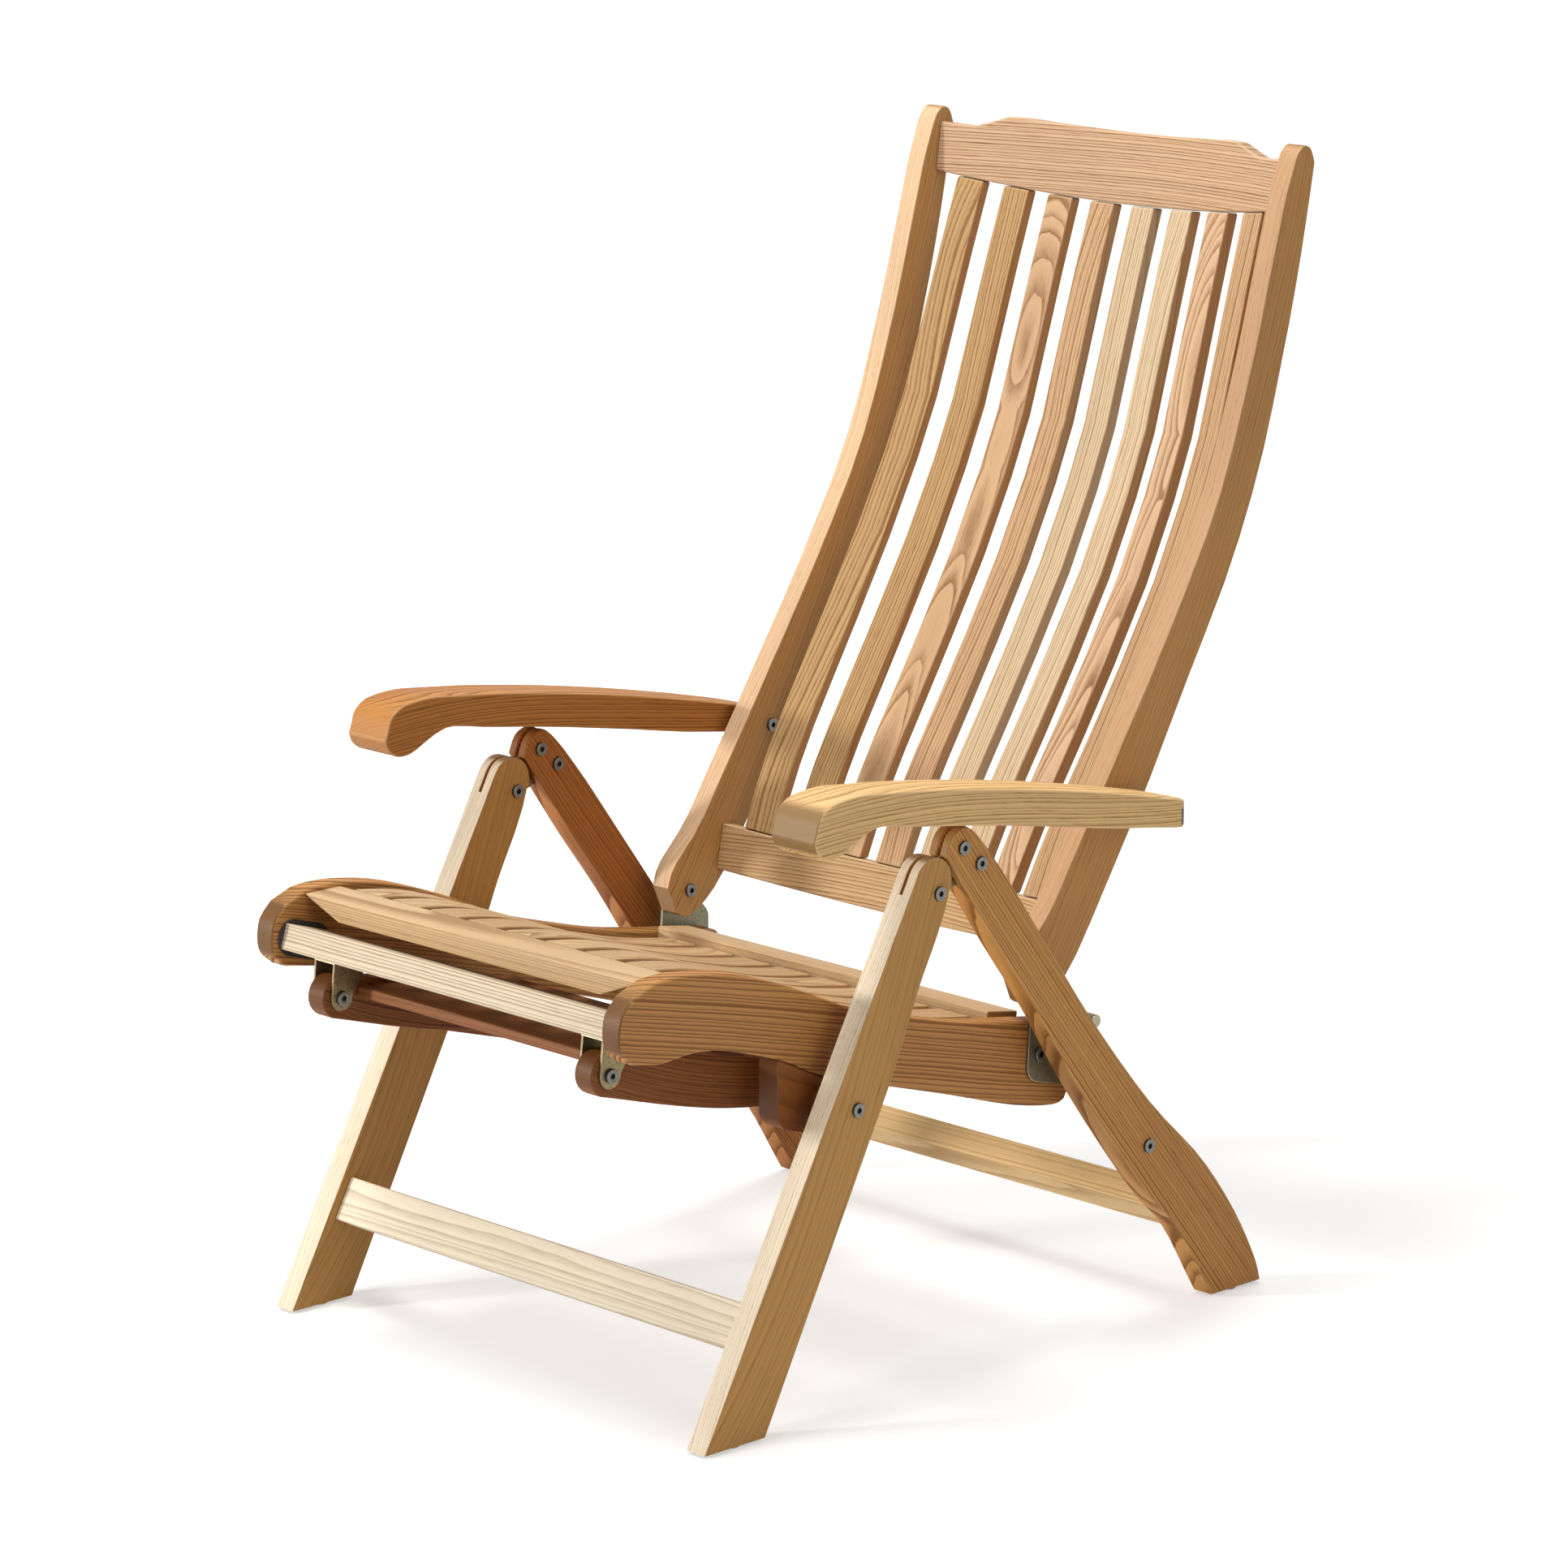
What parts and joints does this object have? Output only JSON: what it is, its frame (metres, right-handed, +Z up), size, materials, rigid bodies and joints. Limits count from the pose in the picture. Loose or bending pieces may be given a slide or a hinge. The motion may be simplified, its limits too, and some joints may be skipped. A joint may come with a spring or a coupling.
{
  "type": "folding slatted recliner chair",
  "caption": "High-backed folding wooden lounge chair with slatted seat, curved slatted back, arms on folding leg frames and a footrest tucked under the seat.",
  "frame": {"origin": "middle of the footprint box, on the floor", "axes": "+X across to the sitter's left hand, +Y from the front to the back, +Z up"},
  "size_m": [0.62, 0.9062, 1.0657],
  "materials": {
    "wood": "oiled",
    "pale_wood": "oiled",
    "brown_wood": "oiled",
    "steel": "zinc plated",
    "bronze": "bronzed",
    "plate": "yellow passivated"
  },
  "bodies": {
    "front_legs": {"front_stretcher": "pale_wood", "front_leg_left": "pale_wood", "front_leg_right": "pale_wood", "leg_hinge_bolt_left": "steel", "leg_hinge_bolt_right": "steel"},
    "rear_legs": {"rear_stretcher": "wood", "rear_leg_left": "wood", "rear_leg_right": "wood", "link_plate_left": "bronze", "link_plate_right": "bronze", "link_screw_1_left": "steel", "link_screw_2_left": "steel", "link_screw_1_right": "steel", "link_screw_2_right": "steel"},
    "seat": {"front_board": "pale_wood", "rear_cross_rail": "wood", "front_bar": "pale_wood", "seat_slat_1": "wood", "seat_slat_2": "wood", "seat_slat_3": "wood", "seat_slat_4": "wood", "seat_slat_5": "wood", "seat_slat_6": "wood", "seat_slat_7": "wood", "seat_slat_8": "wood", "seat_rail_left": "brown_wood", "seat_rail_right": "brown_wood", "hanger_block_left": "brown_wood", "hanger_block_right": "brown_wood", "seat_pivot_bolt_left": "steel", "seat_pivot_bolt_right": "steel", "footrest_bracket_left": "bronze", "footrest_bracket_right": "bronze", "back_bracket_left": "plate", "back_bracket_right": "plate"},
    "back": {"crest_rail": "wood", "back_bottom_rail": "wood", "back_slat_1": "wood", "back_slat_2": "wood", "back_slat_3": "wood", "back_slat_4": "wood", "back_slat_5": "wood", "back_slat_6": "wood", "back_slat_7": "wood", "back_slat_8": "wood", "stile_left": "brown_wood", "stile_right": "brown_wood", "back_pivot_bolt_left": "steel", "back_pivot_bolt_right": "steel", "arm_bolt_left": "steel", "arm_bolt_right": "steel"},
    "arm_left": {"arm_left": "pale_wood"},
    "arm_right": {"arm_right": "pale_wood"},
    "footrest": {"footrest_slat_1": "pale_wood", "footrest_slat_2": "pale_wood", "footrest_slat_3": "pale_wood", "footrest_rail_left": "pale_wood", "footrest_rail_right": "pale_wood", "footrest_bolt_left": "steel", "footrest_bolt_right": "steel"}
  },
  "joints": [
    {"name": "leg_fold", "type": "hinge", "parent": "front_legs", "child": "rear_legs", "pos_m": [0, -0.11497, 0.45402], "axis": [-1, 0, 0], "range_deg": [0, 60]},
    {"name": "seat_tilt", "type": "hinge", "parent": "front_legs", "child": "seat", "pos_m": [0, -0.21569, 0.2765], "axis": [1, 0, 0], "range_deg": [0, 55]},
    {"name": "back_recline", "type": "hinge", "parent": "seat", "child": "back", "pos_m": [0, 0.06541, 0.33466], "axis": [-1, 0, 0], "range_deg": [-10, 25]},
    {"name": "arm_left_level", "type": "hinge", "parent": "back", "child": "arm_left", "pos_m": [0, 0.17493, 0.48198], "axis": [1, 0, 0], "range_deg": [-7, 17]},
    {"name": "arm_right_level", "type": "hinge", "parent": "back", "child": "arm_right", "pos_m": [0, 0.17493, 0.48198], "axis": [1, 0, 0], "range_deg": [-7, 17]},
    {"name": "footrest_swing", "type": "hinge", "parent": "seat", "child": "footrest", "pos_m": [0, -0.41759, 0.3273], "axis": [-1, 0, 0], "range_deg": [0, 165]}
  ],
  "couplings": [
    {"joint": "arm_left_level", "follows": "back_recline", "ratio": 0.63},
    {"joint": "arm_right_level", "follows": "back_recline", "ratio": 0.63}
  ]
}
